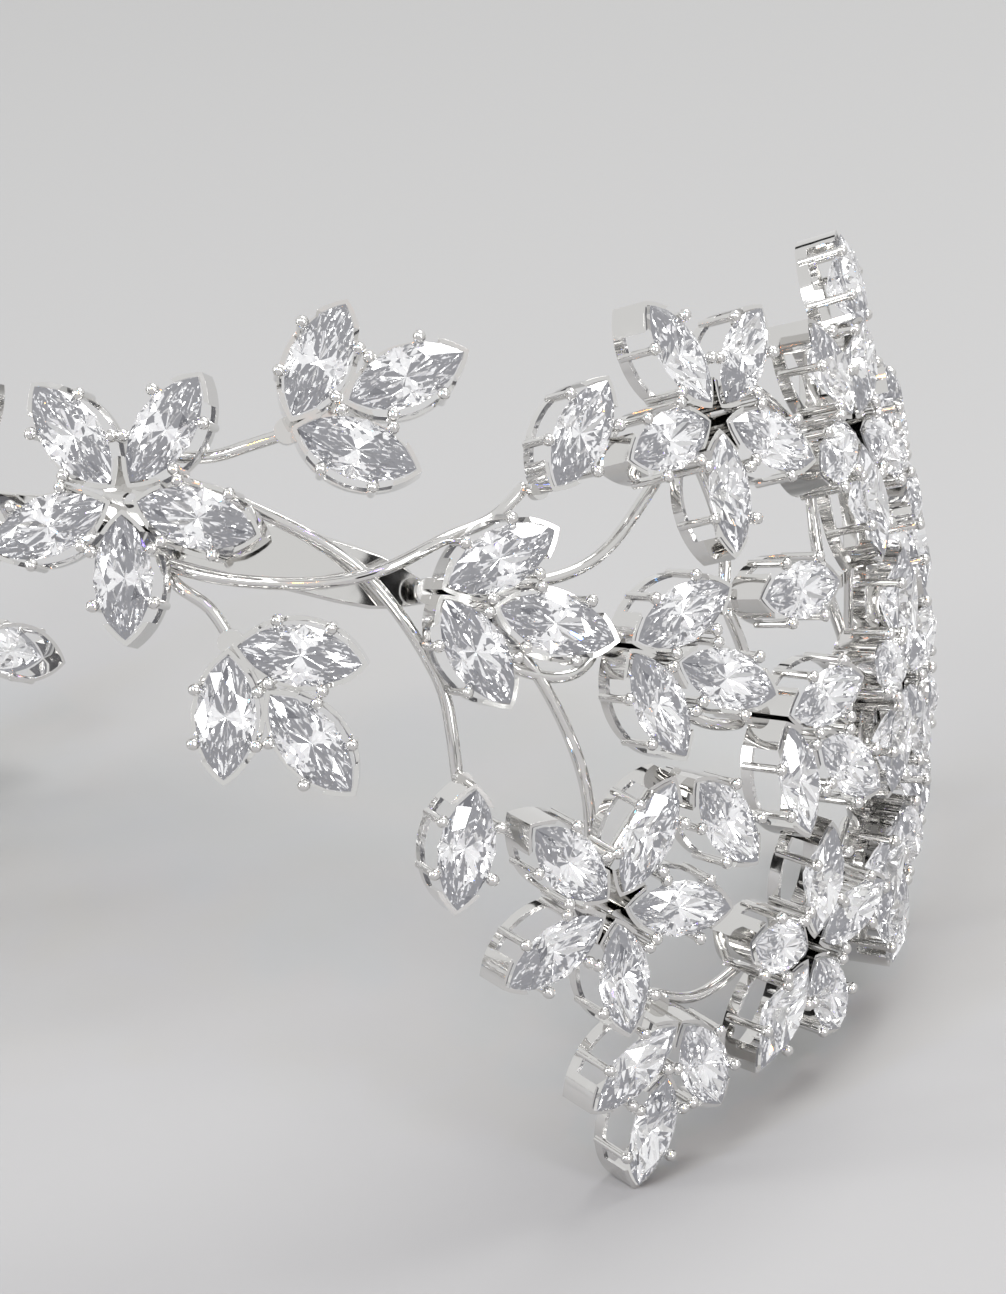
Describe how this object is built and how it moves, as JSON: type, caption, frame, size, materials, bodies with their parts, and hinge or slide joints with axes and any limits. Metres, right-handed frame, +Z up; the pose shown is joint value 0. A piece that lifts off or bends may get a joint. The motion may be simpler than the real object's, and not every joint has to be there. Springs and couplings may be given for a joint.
{
  "type": "bridal tiara",
  "caption": "Open-backed crown of bent silver wire carrying flowers and sprays of marquise crystals in claw baskets, with loops for hair pins.",
  "frame": {"origin": "centre of the box at the floor the tiara stands on", "axes": "+X to the wearer's left wing as it is worn and along the widest extent, -Y to the front, +Z up; the crown leans back as it stands"},
  "size_m": [0.1334, 0.1018, 0.0862],
  "materials": {
    "silver": "polished",
    "crystal": "clear, faceted"
  },
  "bodies": {
    "root": {"front_band": "silver", "binding_coils": "silver", "pin_loops": "silver", "right_front_flower_setting": "silver", "right_upper_flower_setting": "silver", "right_lower_flower_setting": "silver", "right_crest_flower_setting": "silver", "right_side_flower_setting": "silver", "right_base_flower_setting": "silver", "right_rear_upper_flower_setting": "silver", "right_rear_lower_flower_setting": "silver", "left_front_flower_setting": "silver", "left_upper_flower_setting": "silver", "left_lower_flower_setting": "silver", "left_crest_flower_setting": "silver", "left_side_flower_setting": "silver", "left_base_flower_setting": "silver", "left_rear_upper_flower_setting": "silver", "left_rear_lower_flower_setting": "silver", "right_front_upper_spray_setting": "silver", "right_front_lower_spray_setting": "silver", "right_fork_spray_setting": "silver", "right_inner_spray_setting": "silver", "right_centre_spray_setting": "silver", "right_foot_spray_setting": "silver", "right_side_spray_setting": "silver", "left_front_upper_spray_setting": "silver", "left_front_lower_spray_setting": "silver", "left_fork_spray_setting": "silver", "left_inner_spray_setting": "silver", "left_centre_spray_setting": "silver", "left_foot_spray_setting": "silver", "left_side_spray_setting": "silver", "right_bud_settings": "silver", "right_flower_stones": "crystal", "right_spray_stones": "crystal", "right_bud_stones": "crystal", "right_upper_vine": "silver", "right_lower_vine": "silver", "right_stems": "silver", "right_lattice_wires": "silver", "left_bud_settings": "silver", "left_flower_stones": "crystal", "left_spray_stones": "crystal", "left_bud_stones": "crystal", "left_upper_vine": "silver", "left_lower_vine": "silver", "left_stems": "silver", "left_lattice_wires": "silver"}
  },
  "joints": []
}
